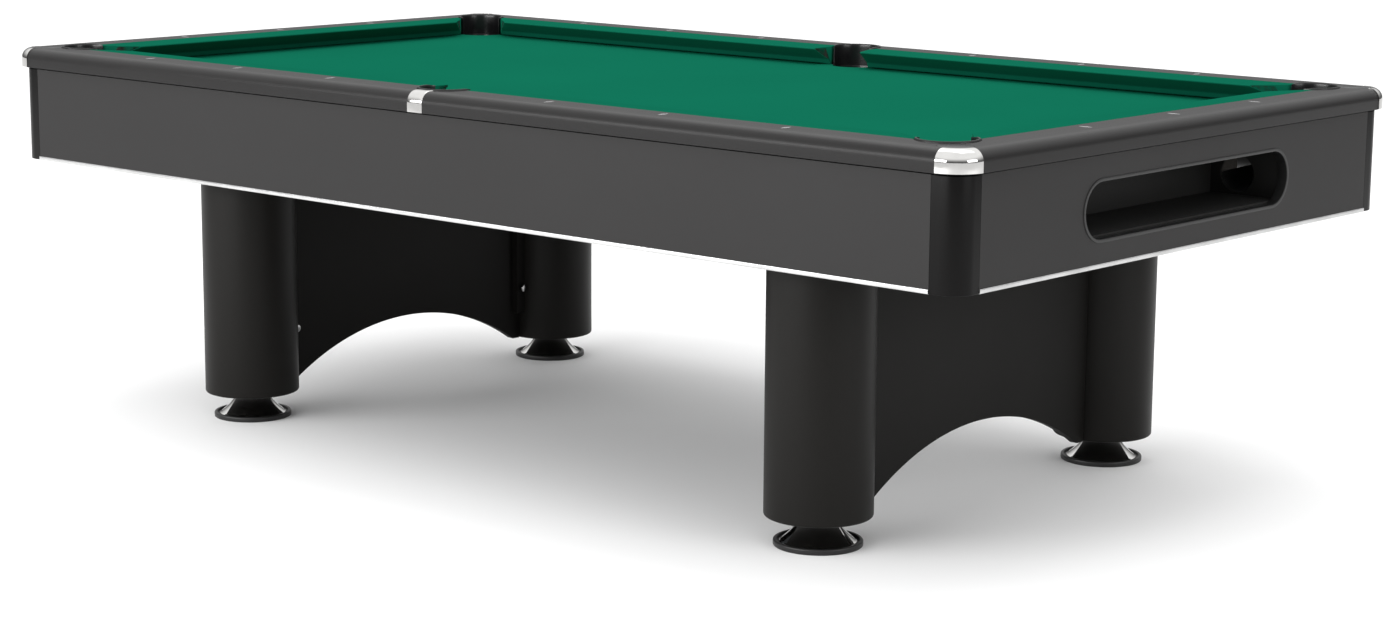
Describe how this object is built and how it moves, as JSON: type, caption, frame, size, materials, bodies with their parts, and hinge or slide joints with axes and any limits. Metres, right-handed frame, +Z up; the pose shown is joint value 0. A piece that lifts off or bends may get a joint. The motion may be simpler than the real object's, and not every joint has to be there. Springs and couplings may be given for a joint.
{
  "type": "pool table",
  "caption": "Slate-bed pool table with cloth-covered cushions, ball-return pockets and end tray, round legs on screw levelling feet and arched leg panels.",
  "frame": {"origin": "on the floor, under the middle of the table", "axes": "+X along the table to the ball-return end, +Y across it to the back, +Z up; the long side at -Y is the front"},
  "size_m": [2.541, 1.421, 0.783],
  "materials": {
    "slate": "honed",
    "bed_cloth": "napped wool cloth",
    "cushion_cloth": "napped wool cloth",
    "cushion_rubber": "matte",
    "rail_laminate": "black fine-grained laminate",
    "sights": "pearl",
    "pocket_liner": "satin black moulding",
    "chrome": "polished",
    "post": "black laminate",
    "apron": "black laminate",
    "trim": "bright",
    "edging": "satin",
    "tray": "black paint",
    "gully": "matte",
    "beam": "raw board",
    "leg": "matte black laminate",
    "panel": "matte black laminate",
    "knob": "bright",
    "steel": "zinc plated",
    "foot_pad": "satin black"
  },
  "bodies": {
    "table": {"apron_back": "apron", "apron_front": "apron", "apron_left": "apron", "apron_right": "apron", "arch_panel_left": "panel", "arch_panel_right": "panel", "ball_mouth_edging": "edging", "ball_tray": "tray", "bed_cloth": "bed_cloth", "bottom_trims": "trim", "corner_caps": "chrome", "corner_posts": "post", "cross_beams": "beam", "cushion_cloth_back_left": "cushion_cloth", "cushion_cloth_back_right": "cushion_cloth", "cushion_cloth_front_left": "cushion_cloth", "cushion_cloth_front_right": "cushion_cloth", "cushion_cloth_left_end": "cushion_cloth", "cushion_cloth_right_end": "cushion_cloth", "cushion_rubbers": "cushion_rubber", "foot_sockets": "steel", "leg_back_left": "leg", "leg_back_right": "leg", "leg_bolts": "steel", "leg_front_left": "leg", "leg_front_right": "leg", "leg_top_plates": "steel", "panel_battens": "panel", "panel_knobs": "knob", "pocket_liner_back_left": "pocket_liner", "pocket_liner_back_middle": "pocket_liner", "pocket_liner_back_right": "pocket_liner", "pocket_liner_front_left": "pocket_liner", "pocket_liner_front_middle": "pocket_liner", "pocket_liner_front_right": "pocket_liner", "rail_back_left": "rail_laminate", "rail_back_right": "rail_laminate", "rail_bolts": "steel", "rail_front_left": "rail_laminate", "rail_front_right": "rail_laminate", "rail_left_end": "rail_laminate", "rail_right_end": "rail_laminate", "rail_sights": "sights", "return_gully_back": "gully", "return_gully_front": "gully", "side_beams": "beam", "side_caps": "chrome", "slate_bed": "slate"},
    "foot_front_left": {"foot_pad_front_left": "foot_pad", "foot_dome_front_left": "chrome"},
    "spindle_front_left": {"foot_spindle_front_left": "steel"},
    "foot_front_right": {"foot_pad_front_right": "foot_pad", "foot_dome_front_right": "chrome"},
    "spindle_front_right": {"foot_spindle_front_right": "steel"},
    "foot_back_left": {"foot_pad_back_left": "foot_pad", "foot_dome_back_left": "chrome"},
    "spindle_back_left": {"foot_spindle_back_left": "steel"},
    "foot_back_right": {"foot_pad_back_right": "foot_pad", "foot_dome_back_right": "chrome"},
    "spindle_back_right": {"foot_spindle_back_right": "steel"}
  },
  "joints": [
    {"name": "foot_slide_front_left", "type": "slide", "parent": "table", "child": "foot_front_left", "axis": [0, 0, -1], "range_m": [0, 0.02]},
    {"name": "spindle_turn_front_left", "type": "hinge", "parent": "foot_front_left", "child": "spindle_front_left", "pos_m": [-0.787, -0.46, 0.03], "axis": [0, 0, -1], "range_deg": [0, 3610]},
    {"name": "foot_slide_front_right", "type": "slide", "parent": "table", "child": "foot_front_right", "axis": [0, 0, -1], "range_m": [0, 0.02]},
    {"name": "spindle_turn_front_right", "type": "hinge", "parent": "foot_front_right", "child": "spindle_front_right", "pos_m": [0.787, -0.46, 0.03], "axis": [0, 0, -1], "range_deg": [0, 3610]},
    {"name": "foot_slide_back_left", "type": "slide", "parent": "table", "child": "foot_back_left", "axis": [0, 0, -1], "range_m": [0, 0.02]},
    {"name": "spindle_turn_back_left", "type": "hinge", "parent": "foot_back_left", "child": "spindle_back_left", "pos_m": [-0.787, 0.46, 0.03], "axis": [0, 0, -1], "range_deg": [0, 3610]},
    {"name": "foot_slide_back_right", "type": "slide", "parent": "table", "child": "foot_back_right", "axis": [0, 0, -1], "range_m": [0, 0.02]},
    {"name": "spindle_turn_back_right", "type": "hinge", "parent": "foot_back_right", "child": "spindle_back_right", "pos_m": [0.787, 0.46, 0.03], "axis": [0, 0, -1], "range_deg": [0, 3610]}
  ],
  "couplings": [
    {"joint": "spindle_turn_front_left", "follows": "foot_slide_front_left", "rad_per_m": 3141.6},
    {"joint": "spindle_turn_front_right", "follows": "foot_slide_front_right", "rad_per_m": 3141.6},
    {"joint": "spindle_turn_back_left", "follows": "foot_slide_back_left", "rad_per_m": 3141.6},
    {"joint": "spindle_turn_back_right", "follows": "foot_slide_back_right", "rad_per_m": 3141.6}
  ]
}
